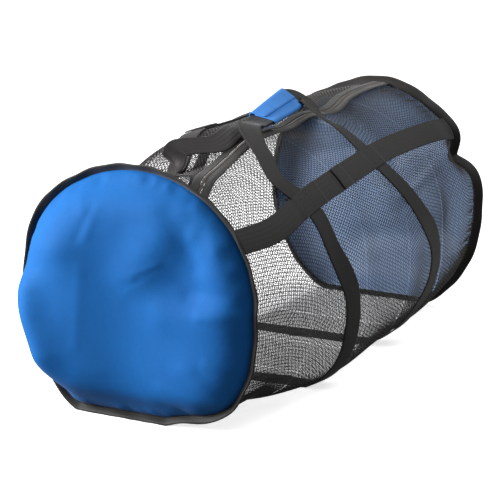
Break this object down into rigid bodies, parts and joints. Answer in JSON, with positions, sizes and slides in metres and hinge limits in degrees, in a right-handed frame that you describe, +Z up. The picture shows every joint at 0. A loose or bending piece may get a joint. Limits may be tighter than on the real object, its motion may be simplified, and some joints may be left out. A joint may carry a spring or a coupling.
{
  "type": "mesh dive gear bag",
  "caption": "Barrel-shaped black net duffel for dive gear, with blue nylon end panels, a top zip, webbing straps and a blue wrap that joins the two carry handles.",
  "frame": {"origin": "on the surface that the bag lies on, under the middle of the whole bag", "axes": "+Z up, +X along the bag from the near end panel to the far one, -Y to the front side"},
  "size_m": [0.885, 0.4186, 0.4145],
  "materials": {
    "net": "matte",
    "webbing": "matte",
    "blue_nylon": "satin",
    "zip_coil": "satin",
    "slider_enamel": "satin"
  },
  "bodies": {
    "root": {"net_body": "net", "end_panel_near": "blue_nylon", "end_panel_far": "blue_nylon", "binding_near": "webbing", "binding_far": "webbing", "zip_tape_front": "webbing", "zip_tape_back": "webbing", "zip_coil": "zip_coil", "zip_slider_near": "slider_enamel", "zip_slider_far": "slider_enamel", "belt_near": "webbing", "belt_far": "webbing", "side_strap_front_near": "webbing", "side_strap_front_middle": "webbing", "side_strap_front_far": "webbing", "side_strap_back_near": "webbing", "side_strap_back_middle": "webbing", "side_strap_back_far": "webbing", "handle_front": "webbing", "handle_back": "webbing", "grip_wrap": "blue_nylon"}
  },
  "joints": []
}
